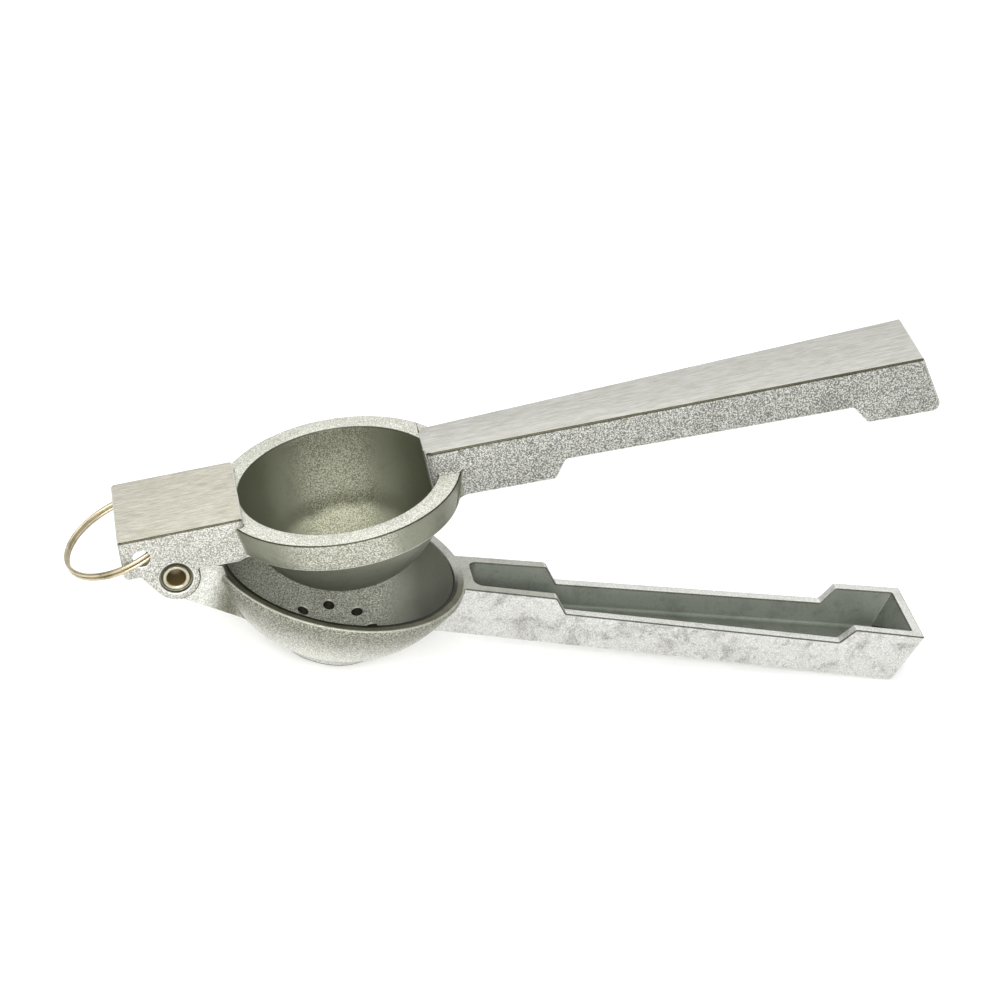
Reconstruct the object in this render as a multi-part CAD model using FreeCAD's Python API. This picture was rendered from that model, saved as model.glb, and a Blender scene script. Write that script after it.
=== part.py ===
import FreeCAD, Part
import math
import os

# A hinged lemon squeezer of two aluminium castings, a hollow rivet and a split ring.
# Sizes are in millimetres and angles in degrees. Each arm is drawn with the hinge pin
# on the Y axis, X towards the handle's end and Z square to the mouth of its bowl.

# How far the arms stand apart in the resting pose
opening_angle = 18.4

# Hinge
rivet_shank_r = 3.2
rivet_bore_r = 2.6
rivet_flange_r = 3.75
rivet_flange_t = 0.9
rivet_seat_r = 4.7
rivet_seat_depth = 1.0
running_gap = 0.05
side_gap = 0.15
tongue_width = 27.0
tongue_r = 7.6
tongue_top = 3.0
tongue_top_end = 13.0
tongue_drop = 15.4

# Bowl arm: the bowl
bowl_x = 48.2
bowl_mouth_r = 33.8
bowl_depth = 23.6
bowl_wall = 3.3
bowl_land = 3.4
bowl_lip_height = 2.0
foot_x = 49.6
foot_r = 14.5
foot_floor = 2.8
drain_x = 50.6
drain_count = 8
drain_circle_r = 11.3
drain_r = 1.65

# Bowl arm: the handle, a channel that is open at the top
low_root_x = 86.0
low_root_width = 18.9
low_tip_x = 225.0
low_tip_width = 28.1
low_root_height = 16.1
low_tip_height = 17.1
low_tip_lean = 5.7
low_draft = 6.0
low_wall = 3.3
low_end_wall = 3.3
low_pocket_x = 88.0
low_pocket_depth = 12.3
low_notch_start = 113.7
low_notch_end = 201.6
low_notch_depth = 5.2
low_notch_slant = 3.8

# Press arm: the cup
cup_x = 49.7
cup_rim_z = 11.8
cup_rim_r = 35.0
cup_land = 6.2
cup_depth = 28.0
cup_wall = 1.6
cup_floor = 4.0
band_height = 9.0
band_taper = 1.4

# Press arm: the nose, a hollow block with a cheek on each side of the tongue
nose_tip = 14.2
nose_end = 21.0
nose_top = 14.1
nose_top_rise = 0.8
nose_width = 32.7
nose_draft = 3.9
nose_wall = 1.9
nose_plate = 1.7
nose_tip_wall = 2.0
cheek_bottom = 2.0
cheek_toe = 9.6
cheek_heel = 1.5
knuckle_r = 6.8
ring_hole_x = -8.5
ring_hole_z = 7.9
ring_hole_r = 2.4

# Press arm: the handle, a channel that is open at the bottom
up_root_lap = 10.4
up_root_width = 15.0
up_root_top = 18.9
up_tip_x = 217.6
up_tip_width = 24.9
up_tip_top = 22.9
up_tip_lean = 4.2
up_draft = 6.5
up_skirt_root = 4.5
up_skirt_tip = 6.4
up_wall = 3.0
up_end_wall = 3.6
up_channel_start = 89.0
up_notch_start = 111.8
up_notch_end = 198.2
up_notch_root_z = 10.3
up_notch_tip_z = 11.3
up_notch_slant = 3.6

# Split ring: a flat double winding of round wire
ring_clasp = 0.83
ring_wire = 0.9
ring_turn_gap = 0.42
ring_entry = 0.73
ring_droop = 16.2
ring_twist = 1.2
ring_crossing = 36.0
ring_wire_sides = 8

# Rounded corners
corner_r = 1.2
root_fillet_r = 1.0
pocket_r = 2.5
floor_r = 1.2


def vec(x, y, z):
    return FreeCAD.Vector(x, y, z)


def between(x, x0, value0, x1, value1):
    return value0 + (value1 - value0) * (x - x0) / (x1 - x0)


def slope(degrees):
    return math.tan(math.radians(degrees))


def outline(corners):
    """A closed wire in the XZ plane through (x, z, radius) corners."""
    edges = []
    starts = []
    ends = []
    count = len(corners)
    for index, (x, z, radius) in enumerate(corners):
        here = vec(x, 0, z)
        before = vec(corners[index - 1][0], 0, corners[index - 1][1])
        after = vec(corners[(index + 1) % count][0], 0, corners[(index + 1) % count][1])
        into = (before - here).normalize()
        out = (after - here).normalize()
        if radius <= 0:
            starts.append(here)
            ends.append(here)
            continue
        half_turn = into.getAngle(out) / 2
        run = radius / math.tan(half_turn)
        start = here + into * run
        end = here + out * run
        bisector = (into + out).normalize()
        middle = here + bisector * (radius / math.sin(half_turn) - radius)
        edges.append(Part.Arc(start, middle, end).toShape())
        starts.append(start)
        ends.append(end)
    for index in range(count):
        first = ends[index]
        second = starts[(index + 1) % count]
        edges.append(Part.makeLine(first, second))
    return Part.Wire(Part.__sortEdges__(edges))


def side_slab(wire):
    """The XZ outline carried right across the arm."""
    face = Part.Face(wire)
    face.translate(vec(0, -reach, 0))
    return face.extrude(vec(0, 2 * reach, 0))


def tapered_block(x0, x1, z0, z1, half_width):
    """A block whose sides follow half_width(x, z), which is linear in both."""
    near = []
    far = []
    for x, points in ((x0, near), (x1, far)):
        for side, z in ((-1, z0), (-1, z1), (1, z1), (1, z0)):
            points.append(vec(x, side * half_width(x, z), z))
    rings = [near, far[::-1]]
    for index in range(4):
        after = (index + 1) % 4
        rings.append([near[after], near[index], far[index], far[after]])
    shell = Part.Shell([Part.Face(Part.makePolygon(ring + ring[:1])) for ring in rings])
    shell.sewShape()
    block = Part.Solid(shell)
    if block.Volume < 0:
        block.reverse()
    return block


def turned(points_and_arcs, centre_x):
    """A solid turned about the upright axis at centre_x from a face in the XZ plane."""
    face = Part.Face(Part.Wire(points_and_arcs))
    return face.revolve(vec(centre_x, 0, 0), vec(0, 0, 1), 360)


def cross_cylinder(radius, half_length, x=0.0, z=0.0):
    return Part.makeCylinder(radius, 2 * half_length, vec(x, -half_length, z), vec(0, 1, 0))


def rounded(shape, radius, rule):
    """The shape with each edge that rule(centre, direction) picks rounded."""
    chosen = []
    for edge in shape.Edges:
        if edge.Curve.TypeId != "Part::GeomLine":
            continue
        direction = (edge.Vertexes[-1].Point - edge.Vertexes[0].Point).normalize()
        if rule(edge.CenterOfMass, direction):
            chosen.append(edge)
    return shape.makeFillet(radius, chosen)


def one_solid(shape):
    shape = shape.removeSplitter()
    return shape.Solids[0]


# The bowl's inside is part of a ball, and its outside follows at the wall's thickness
bowl_ball_r = (bowl_mouth_r ** 2 + bowl_depth ** 2) / (2 * bowl_depth)
bowl_ball_z = bowl_ball_r - bowl_depth
bowl_lip_r = bowl_mouth_r + bowl_land
foot_z = -bowl_depth - foot_floor
cheek_inner = tongue_width / 2 + side_gap

# Slabs and drills run well past both sides of the widest form
reach = 2 * cup_rim_r


def low_half(x, z):
    return between(x, low_root_x, low_root_width, low_tip_x, low_tip_width) / 2 + z * slope(low_draft)


def low_inner_half(x, z):
    return low_half(x, z) - low_wall


def bowl_body():
    outer_r = bowl_ball_r + bowl_wall
    lip_in = math.sqrt(outer_r ** 2 - (bowl_ball_z + bowl_lip_height) ** 2)
    flat_r = math.sqrt(outer_r ** 2 - (bowl_ball_z - foot_z) ** 2)
    outer_start = -math.acos(flat_r / outer_r)
    outer_end = -math.acos(lip_in / outer_r)
    outer_tilt = (outer_start + outer_end) / 2
    axis_bottom = vec(bowl_x, 0, foot_z)
    flat_edge = vec(bowl_x + flat_r, 0, foot_z)
    belly = vec(bowl_x + outer_r * math.cos(outer_tilt), 0, bowl_ball_z + outer_r * math.sin(outer_tilt))
    under_lip = vec(bowl_x + lip_in, 0, -bowl_lip_height)
    lip_low = vec(bowl_x + bowl_lip_r, 0, -bowl_lip_height)
    lip_top = vec(bowl_x + bowl_lip_r, 0, 0)
    axis_top = vec(bowl_x, 0, 0)
    return turned([Part.makeLine(axis_bottom, flat_edge),
                   Part.Arc(flat_edge, belly, under_lip).toShape(),
                   Part.makeLine(under_lip, lip_low),
                   Part.makeLine(lip_low, lip_top),
                   Part.makeLine(lip_top, axis_top),
                   Part.makeLine(axis_top, axis_bottom)], bowl_x)


def tongue():
    corner_x = math.sqrt(tongue_r ** 2 - tongue_top ** 2)
    drop = math.radians(tongue_drop)
    tangent = vec(-tongue_r * math.sin(drop), 0, -tongue_r * math.cos(drop))
    deep_x = bowl_x - bowl_mouth_r / 2
    deep_z = tangent.z - (deep_x - tangent.x) * math.tan(drop)
    shoulder = vec(corner_x, 0, tongue_top)
    top_end = vec(tongue_top_end, 0, tongue_top)
    step = vec(tongue_top_end + tongue_top / 2, 0, 0)
    inner_top = vec(deep_x, 0, 0)
    inner_low = vec(deep_x, 0, deep_z)
    wire = Part.Wire([Part.makeLine(shoulder, top_end),
                      Part.makeLine(top_end, step),
                      Part.makeLine(step, inner_top),
                      Part.makeLine(inner_top, inner_low),
                      Part.makeLine(inner_low, tangent),
                      Part.Arc(tangent, vec(-tongue_r, 0, 0), shoulder).toShape()])
    face = Part.Face(wire)
    face.translate(vec(0, -tongue_width / 2, 0))
    return face.extrude(vec(0, tongue_width, 0))


def low_handle():
    lowest = -low_tip_height - floor_r
    block = tapered_block(bowl_x, low_tip_x + low_tip_lean, lowest, 0, low_half)
    slant = low_notch_slant / 2
    profile = outline([(bowl_x, 0, 0),
                       (low_notch_start - slant, 0, corner_r),
                       (low_notch_start + slant, -low_notch_depth, corner_r),
                       (low_notch_end - slant, -low_notch_depth, corner_r),
                       (low_notch_end + slant, 0, corner_r),
                       (low_tip_x, 0, 0),
                       (low_tip_x - low_tip_lean, -low_tip_height, corner_r),
                       (low_root_x, -low_root_height, 0),
                       (bowl_x, -low_root_height, 0)])
    return block.common(side_slab(profile))


def low_pocket():
    top = floor_r
    end_top = low_tip_x - low_end_wall
    end_low = end_top - low_tip_lean * low_pocket_depth / low_tip_height
    block = tapered_block(low_pocket_x, low_tip_x, -low_pocket_depth, top, low_inner_half)
    profile = outline([(low_pocket_x, top, 0),
                       (end_top + low_tip_lean * top / low_tip_height, top, 0),
                       (end_low, -low_pocket_depth, 0),
                       (low_pocket_x, -low_pocket_depth, 0)])
    pocket = block.common(side_slab(profile))
    pocket = rounded(pocket, pocket_r,
                     lambda c, d: abs(d.z) > 0.8 and c.x < low_pocket_x + 1)
    return rounded(pocket, floor_r,
                   lambda c, d: abs(d.z) < 0.2 and abs(c.z + low_pocket_depth) < 0.1)


def bowl_arm():
    foot_top = -bowl_depth / 2
    foot = Part.makeCylinder(foot_r, foot_top - foot_z, vec(foot_x, 0, foot_z))
    arm = one_solid(bowl_body().fuse([tongue(), low_handle(), foot]))
    arm = arm.cut(Part.makeSphere(bowl_ball_r, vec(bowl_x, 0, bowl_ball_z)))
    arm = arm.cut(low_pocket())
    arm = arm.cut(cross_cylinder(rivet_shank_r + running_gap, reach))
    for index in range(drain_count):
        angle = 2 * math.pi * index / drain_count
        x = drain_x + drain_circle_r * math.cos(angle)
        y = drain_circle_r * math.sin(angle)
        arm = arm.cut(Part.makeCylinder(drain_r, bowl_depth, vec(x, y, foot_z - 1)))
    return one_solid(arm)


cup_mouth_r = cup_rim_r - cup_land
cup_ball_r = (cup_mouth_r ** 2 + cup_depth ** 2) / (2 * cup_depth)
cup_ball_z = cup_rim_z - cup_depth + cup_ball_r
band_foot_z = cup_rim_z - band_height
band_foot_r = cup_rim_r - band_taper
dome_r = cup_ball_r + cup_wall
dome_low_z = cup_rim_z - cup_depth - cup_floor
dome_z = dome_low_z + dome_r
dome_top_r = math.sqrt(dome_r ** 2 - (dome_z - band_foot_z) ** 2)
up_root_x = cup_x + cup_rim_r - up_root_lap


def nose_plane(x):
    return nose_top + x * slope(nose_top_rise)


def nose_half(x, z):
    return nose_width / 2 + (nose_top - z) * slope(nose_draft)


def nose_inner_half(x, z):
    return nose_half(x, z) - nose_wall


# The ring reaches round both cheeks, and stands so far ahead of their holes that it enters them
ring_mean_r = nose_half(0, ring_hole_z) + ring_clasp
ring_offset = math.sqrt(ring_mean_r ** 2 - nose_half(0, ring_hole_z) ** 2) - ring_entry


def up_plane(x):
    return between(x, up_root_x, up_root_top, up_tip_x, up_tip_top)


def up_half(x, z):
    top_half = between(x, up_root_x, up_root_width, up_tip_x, up_tip_width) / 2
    return top_half + (up_plane(x) - z) * slope(up_draft)


def up_inner_half(x, z):
    return up_half(x, z) - up_wall


def cup_body():
    dome_tilt = -math.radians(45) - math.atan2(dome_z - band_foot_z, dome_top_r) / 2
    dome_low = vec(cup_x, 0, dome_low_z)
    dome_side = vec(cup_x + dome_r * math.cos(dome_tilt), 0, dome_z + dome_r * math.sin(dome_tilt))
    dome_top = vec(cup_x + dome_top_r, 0, band_foot_z)
    band_low = vec(cup_x + band_foot_r, 0, band_foot_z)
    rim_out = vec(cup_x + cup_rim_r, 0, cup_rim_z)
    axis_top = vec(cup_x, 0, cup_rim_z)
    return turned([Part.Arc(dome_low, dome_side, dome_top).toShape(),
                   Part.makeLine(dome_top, band_low),
                   Part.makeLine(band_low, rim_out),
                   Part.makeLine(rim_out, axis_top),
                   Part.makeLine(axis_top, dome_low)], cup_x)


def nose():
    low = -knuckle_r - 1
    high = nose_plane(nose_end) + 1
    overlap = nose_end + 1.5
    block = tapered_block(-nose_tip, overlap + 5, low, cup_rim_z, nose_half)
    block = rounded(block, corner_r, lambda c, d: abs(d.z) > 0.9 and c.x < 0)
    crown = tapered_block(-nose_tip, nose_end, 0, high, nose_half)
    block = block.fuse(rounded(crown, corner_r, lambda c, d: abs(d.z) > 0.9))
    heel_x = math.sqrt(knuckle_r ** 2 - cheek_heel ** 2)
    toe_span = math.hypot(cheek_toe, cheek_bottom)
    meet_angle = math.atan2(cheek_bottom, -cheek_toe) + math.acos(knuckle_r / toe_span)
    meet = vec(knuckle_r * math.cos(meet_angle), 0, knuckle_r * math.sin(meet_angle))
    body = outline([(-nose_tip - 1, nose_plane(-nose_tip - 1), 0),
                    (nose_end, nose_plane(nose_end), 0),
                    (nose_end, cup_rim_z, 0),
                    (overlap, cup_rim_z, 0),
                    (overlap, cheek_heel + 1.5, 0),
                    (cup_x - band_foot_r + 2, cheek_heel, 0),
                    (0, cheek_heel, 0),
                    (-1, cheek_bottom, 0),
                    (-nose_tip, cheek_bottom, corner_r),
                    (-nose_tip, cheek_bottom + 2 * corner_r, 0),
                    (-nose_tip - 1, cheek_bottom + 2 * corner_r, 0)])
    gusset = outline([(0, cheek_bottom + 1, 0), (-cheek_toe, cheek_bottom + 1, 0),
                      (-cheek_toe, cheek_bottom, 0), (meet.x, meet.z, 0), (0, 0, 0)])
    knuckle = cross_cylinder(knuckle_r, reach)
    return block.common(side_slab(body).fuse([side_slab(gusset), knuckle]))


def nose_hollow():
    low = -knuckle_r - 2
    inner = tapered_block(-nose_tip + nose_tip_wall, nose_end + 5, low, nose_top + 2, nose_inner_half)
    roof = outline([(-reach, nose_plane(-reach) - nose_plate, 0),
                    (reach, nose_plane(reach) - nose_plate, 0),
                    (reach, low, 0), (-reach, low, 0)])
    inner = inner.common(side_slab(roof))
    pads = cross_cylinder(knuckle_r, reach).cut(cross_cylinder(knuckle_r + 1, cheek_inner))
    return inner.cut(pads)


def ring_passages():
    """A round mouth in each cheek that slants inwards, as the ring runs there."""
    depth = nose_half(0, ring_hole_z) - cheek_inner
    cuts = []
    for side in (-1, 1):
        outer_y = nose_half(0, ring_hole_z)
        circle = Part.Circle(vec(ring_hole_x, side * outer_y, ring_hole_z), vec(0, 1, 0), ring_hole_r)
        mouth = Part.Face(Part.Wire(circle.toShape()))
        run = math.sqrt(ring_mean_r ** 2 - (outer_y - nose_wall) ** 2)
        run -= math.sqrt(ring_mean_r ** 2 - outer_y ** 2)
        along = vec(run, -side * nose_wall, run * slope(ring_droop / 2))
        cuts.append(mouth.extrude(along * (depth / nose_wall)))
        straight = vec(0, side, 0)
        mouth.translate(straight * -(nose_wall + side_gap))
        cuts.append(mouth.extrude(straight * 2 * nose_wall))
    return cuts


def up_handle():
    low = up_skirt_root - 8
    high = up_tip_top + 3
    block = tapered_block(up_root_x, up_tip_x + 10, low, high, up_half)
    block = rounded(block, 2 * corner_r, lambda c, d: abs(d.z) > 0.9 and c.x < cup_x + cup_rim_r)
    slant = up_notch_slant / 2
    skirt_a = between(up_notch_start, cup_x + cup_rim_r, up_skirt_root, up_tip_x, up_skirt_tip)
    skirt_b = between(up_notch_end, cup_x + cup_rim_r, up_skirt_root, up_tip_x, up_skirt_tip)
    profile = outline([(up_root_x, up_root_top, 0),
                       (up_tip_x, up_tip_top, 0),
                       (up_tip_x + up_tip_lean, up_skirt_tip, 2 * corner_r),
                       (up_notch_end + slant, skirt_b, corner_r),
                       (up_notch_end - slant, up_notch_tip_z, corner_r),
                       (up_notch_start + slant, up_notch_root_z, corner_r),
                       (up_notch_start - slant, skirt_a, corner_r),
                       (cup_x + cup_rim_r, up_skirt_root, 0),
                       (cup_x + dome_top_r, band_foot_z + 0.4, 0),
                       (up_root_x + 1.5, 0, 0)])
    return block.common(side_slab(profile))


def up_channel():
    low = 0.0
    inner = tapered_block(up_channel_start, up_tip_x + 10, low, up_tip_top, up_inner_half)
    inner_end = up_tip_x - up_end_wall
    roof = outline([(up_channel_start, up_plane(up_channel_start) - up_wall, 0),
                    (inner_end, up_plane(inner_end) - up_wall, 0),
                    (inner_end + up_tip_lean, low, 0),
                    (up_channel_start, low, 0)])
    inner = inner.common(side_slab(roof))
    return rounded(inner, floor_r, lambda c, d: abs(d.z) > 0.8)


def is_root_edge(edge):
    """True where a side of the handle's root meets the cup's land or its band."""
    c = edge.CenterOfMass
    on_side = abs(abs(c.y) - up_half(c.x, c.z)) < up_root_width / 10
    outside_cup = math.hypot(c.x - cup_x, c.y) > cup_mouth_r + corner_r
    on_rim = band_foot_z + band_height / 3 < c.z < cup_rim_z + corner_r / 2
    near_root = up_root_x < c.x < cup_x + cup_rim_r
    return on_side and outside_cup and on_rim and near_root


def press_arm():
    ball = Part.makeSphere(cup_ball_r, vec(cup_x, 0, cup_ball_z))
    nose_solid = nose().cut(nose_hollow())
    nose_solid = nose_solid.cut(cross_cylinder(rivet_shank_r, reach))
    seat = cross_cylinder(rivet_seat_r, reach)
    seat_y = nose_half(0, 0) - rivet_seat_depth
    nose_solid = nose_solid.cut(seat.cut(cross_cylinder(rivet_seat_r + 1, seat_y)))
    for passage in ring_passages():
        nose_solid = nose_solid.cut(passage)
    cup = one_solid(cup_body().fuse(nose_solid)).cut(ball)
    arm = one_solid(cup.fuse(up_handle().cut(up_channel())))
    return arm.makeFillet(root_fillet_r, [edge for edge in arm.Edges if is_root_edge(edge)])


def hinge_rivet():
    face_y = nose_half(0, 0) - rivet_seat_depth
    end_y = face_y + rivet_flange_t
    shank = cross_cylinder(rivet_shank_r, end_y)
    for side in (-1, 1):
        flange = Part.makeCylinder(rivet_flange_r, rivet_flange_t, vec(0, side * face_y, 0),
                                   vec(0, side, 0))
        shank = shank.fuse(flange)
    rivet = one_solid(shank).cut(cross_cylinder(rivet_bore_r, reach))
    rims = []
    for edge in rivet.Edges:
        on_end = abs(abs(edge.CenterOfMass.y) - end_y) < 0.01
        if on_end and edge.Curve.TypeId == "Part::GeomCircle" and edge.Curve.Radius > rivet_shank_r:
            rims.append(edge)
    return rivet.makeChamfer(rivet_flange_t / 3, rims).Solids[0]


def ring_point(angle):
    """Where the wire's middle runs at an angle along its double turn, and its heading."""
    pitch = ring_wire + ring_turn_gap
    crossing = math.radians(ring_crossing)
    share = (angle + crossing / 2) / crossing
    share = min(1.0, max(0.0, share))
    rise = share * share * (3 - 2 * share)
    climb = 6 * share * (1 - share) / crossing * pitch
    point = vec(ring_mean_r * math.cos(angle), ring_mean_r * math.sin(angle), pitch * (0.5 - rise))
    heading = vec(-ring_mean_r * math.sin(angle), ring_mean_r * math.cos(angle), -climb)
    return point, heading.normalize()


def arc_leaving(start, heading, end):
    chord = end - start
    across = chord - heading * chord.dot(heading)
    if across.Length < 1e-7:
        return Part.makeLine(start, end)
    across.normalize()
    half_turn = math.atan2(chord.dot(across), chord.dot(heading))
    radius = chord.Length / (2 * math.sin(half_turn))
    centre = start + across * radius
    middle = centre + (start - centre) * math.cos(half_turn) + heading * radius * math.sin(half_turn)
    return Part.Arc(start, middle, end).toShape()


def biarc(p0, t0, p1, t1):
    """Two arcs that leave p0 along t0 and reach p1 along t1."""
    chord = p1 - p0
    a = 2 * (1 - t0.dot(t1))
    b = 2 * chord.dot(t0 + t1)
    c = -chord.dot(chord)
    if a < 1e-9:
        length = -c / b
    else:
        length = (-b + math.sqrt(b * b - 4 * a * c)) / (2 * a)
    joint = (p0 + t0 * length + p1 - t1 * length) * 0.5
    return [arc_leaving(p0, t0, joint), arc_leaving(p1, t1 * -1, joint)]


def split_ring():
    bend = math.radians(ring_crossing) / 2
    lead = bend + 2 * ring_wire / ring_mean_r
    steps = 4
    top_stops = [between(i, 0, lead - 2 * math.pi, steps, -bend) for i in range(steps + 1)]
    low_stops = [between(i, 0, bend, steps, 2 * math.pi - lead) for i in range(steps + 1)]
    stops = top_stops + [0.0] + low_stops
    edges = []
    for a, b in zip(stops, stops[1:]):
        p0, t0 = ring_point(a)
        p1, t1 = ring_point(b)
        edges += biarc(p0, t0, p1, t1)
    path = Part.Wire(edges)
    start, heading = ring_point(stops[0])
    out = vec(start.x, start.y, 0).normalize()
    up = heading.cross(out)
    corners = []
    for index in range(ring_wire_sides + 1):
        angle = 2 * math.pi * index / ring_wire_sides
        corners.append(start + (out * math.cos(angle) + up * math.sin(angle)) * (ring_wire / 2))
    ring = path.makePipeShell([Part.makePolygon(corners)], True, False)
    points = path.discretize(Number=900)
    apart = int(3 * ring_wire * len(points) / path.Length)
    least = min((p - q).Length for i, p in enumerate(points) for q in points[i + apart:])
    section_area = ring_wire_sides * ring_wire ** 2 / 8 * math.sin(2 * math.pi / ring_wire_sides)
    print("split ring wire", round(path.Length, 1), "least gap", round(least - ring_wire, 2),
          "volume share", round(ring.Volume / (path.Length * section_area), 3))
    return ring.Solids[0]


def turn_about_pin(shape, degrees):
    return shape.rotated(vec(0, 0, 0), vec(0, 1, 0), degrees)


def place_ring(ring):
    """The ring hangs through the cheek holes and its inner arc lies under the nose plate."""
    placed = ring.translated(vec(-ring_offset, 0, 0))
    placed = placed.rotated(vec(0, 0, 0), vec(1, 0, 0), ring_twist)
    placed = placed.rotated(vec(0, 0, 0), vec(0, 1, 0), -ring_droop)
    return placed.translated(vec(ring_hole_x, 0, ring_hole_z))


# The bowl arm stands on its foot and on the low edge of its handle's end
stand_run = low_tip_x - low_tip_lean - (foot_x + foot_r)
stand_rise = -low_tip_height - foot_z
stand_tilt = math.degrees(math.atan2(stand_rise, stand_run))

parts = {
    "bowl_arm": turn_about_pin(bowl_arm(), stand_tilt),
    "press_arm": turn_about_pin(press_arm(), stand_tilt - opening_angle),
    "hinge_rivet": turn_about_pin(hinge_rivet(), stand_tilt - opening_angle),
    "split_ring": turn_about_pin(place_ring(split_ring()), stand_tilt - opening_angle),
}

box = Part.makeCompound(list(parts.values())).optimalBoundingBox()
shift = vec(-(box.XMin + box.XMax) / 2, 0, -box.ZMin)

os.makedirs("parts", exist_ok=True)
for name, shape in parts.items():
    shape = shape.translated(shift)
    shape.exportStep(os.path.join("parts", name + ".step"))
    print(name, "valid", shape.isValid(), "solids", len(shape.Solids), "volume", round(shape.Volume / 1000, 2))
print("pin at", round(shift.x, 3), round(shift.z, 3), "tilt", round(stand_tilt, 3))
print("box", round(box.XLength, 2), round(box.YLength, 2), round(box.ZLength, 2))
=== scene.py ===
import math

import bmesh
import bpy
from mathutils import Matrix, Vector
from mathutils.kdtree import KDTree


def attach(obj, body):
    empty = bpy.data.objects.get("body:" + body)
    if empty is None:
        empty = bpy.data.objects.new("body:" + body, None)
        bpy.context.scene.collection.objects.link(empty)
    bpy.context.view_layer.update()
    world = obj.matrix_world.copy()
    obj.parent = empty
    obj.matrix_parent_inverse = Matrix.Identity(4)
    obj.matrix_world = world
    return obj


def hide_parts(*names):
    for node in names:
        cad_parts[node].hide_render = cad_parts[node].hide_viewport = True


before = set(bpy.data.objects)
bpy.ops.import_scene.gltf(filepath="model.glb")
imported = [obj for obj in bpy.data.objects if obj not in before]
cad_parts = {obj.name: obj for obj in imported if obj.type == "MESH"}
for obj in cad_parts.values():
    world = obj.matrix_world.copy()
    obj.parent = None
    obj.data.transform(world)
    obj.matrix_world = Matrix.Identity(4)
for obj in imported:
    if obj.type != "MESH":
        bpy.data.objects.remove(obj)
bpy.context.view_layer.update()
print("stage: frame loaded, nodes", sorted(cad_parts))

mm = 0.001

# How the photograph was taken: place in the frame's millimetres, turn in degrees, clip in metres
photoCamera = {
    "place": (-188.05, -724.68, 463.36),
    "turn": (60.7166, -8.1941, -9.6174),
    "lens": 107.16,
    "sensor": 36.0,
    "clip": (0.05, 20.0),
}

# The studio: tones are 0 to 255 as a picture shows them, places and sizes in metres, power in watts;
# the flags darken the walls where the X of a direction is past flagFrom, and wholly from flagTo
studio = {
    "floorTone": (240, 240, 239),
    "floorGlow": 0.26,
    "floorRoughness": 0.9,
    "floorSize": 6.0,
    "floorDrop": 0.0004,
    "wallTone": (252, 253, 255),
    "flagTone": (112, 114, 106),
    "flagFrom": 0.42,
    "flagTo": 0.86,
    "wallLight": 0.92,
    "aim": (0.0, 0.0, 0.03),
    "lamps": [
        {"name": "topSoftbox", "place": (-0.20, 0.10, 1.00), "size": 0.8, "power": 4.0},
        {"name": "frontSoftbox", "place": (-0.25, -1.05, 0.62), "size": 0.5, "power": 12.0},
    ],
}

# Where the two castings lie: the hinge pin in millimetres, each arm's pitch in degrees
arms = {
    "pin": (-97.279, 0.0, 30.187),
    "bowlPitch": 3.429,
    "pressPitch": -14.971,
}


def deselectAll():
    if bpy.context.object and bpy.context.object.mode != "OBJECT":
        bpy.ops.object.mode_set(mode="OBJECT")
    bpy.ops.object.select_all(action="DESELECT")


def pick(piece):
    deselectAll()
    piece.select_set(True)
    bpy.context.view_layer.objects.active = piece


def linear(tone):
    # A tone as a picture shows it, 0 to 255, as the linear colour that a shader wants
    shares = [value / 255 for value in tone]
    return tuple(s / 12.92 if s <= 0.04045 else ((s + 0.055) / 1.055) ** 2.4 for s in shares) + (1,)


def armMatrix(pitch):
    # From an arm's own millimetres, X along the arm and Z square to its bowl, to the frame's metres
    toPin = Matrix.Translation(Vector(arms["pin"]) * mm)
    return toPin @ Matrix.Rotation(math.radians(pitch), 4, "Y") @ Matrix.Scale(mm, 4)


def makeCamera():
    data = bpy.data.cameras.new("photoCamera")
    data.lens = photoCamera["lens"]
    data.sensor_width = photoCamera["sensor"]
    data.clip_start, data.clip_end = photoCamera["clip"]
    camera = bpy.data.objects.new("photoCamera", data)
    bpy.context.scene.collection.objects.link(camera)
    camera.location = [value * mm for value in photoCamera["place"]]
    camera.rotation_euler = [math.radians(value) for value in photoCamera["turn"]]
    bpy.context.scene.camera = camera


def newMaterial(name):
    paint = bpy.data.materials.new(name)
    paint.use_nodes = True
    return paint, paint.node_tree.nodes, paint.node_tree.links


def addMath(tree, operation, first, second):
    node = tree.nodes.new("ShaderNodeMath")
    node.operation = operation
    for socket, value in zip(node.inputs, (first, second)):
        if isinstance(value, (int, float)):
            socket.default_value = value
        else:
            tree.links.new(value, socket)
    return node.outputs[0]


def addRange(tree, value, low, high):
    # 0 at low, 1 at high, smooth between them; low may be the greater one
    node = tree.nodes.new("ShaderNodeMapRange")
    node.interpolation_type = "SMOOTHSTEP"
    for label, end in (("Value", value), ("From Min", low), ("From Max", high)):
        if isinstance(end, (int, float)):
            node.inputs[label].default_value = end
        else:
            tree.links.new(end, node.inputs[label])
    return node.outputs[0]


def anyRay(tree, kinds):
    # 1 for a ray of any of these kinds, else 0
    path = tree.nodes.new("ShaderNodeLightPath")
    seen = path.outputs[kinds[0]]
    for kind in kinds[1:]:
        seen = addMath(tree, "MAXIMUM", seen, path.outputs[kind])
    return seen


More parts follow.
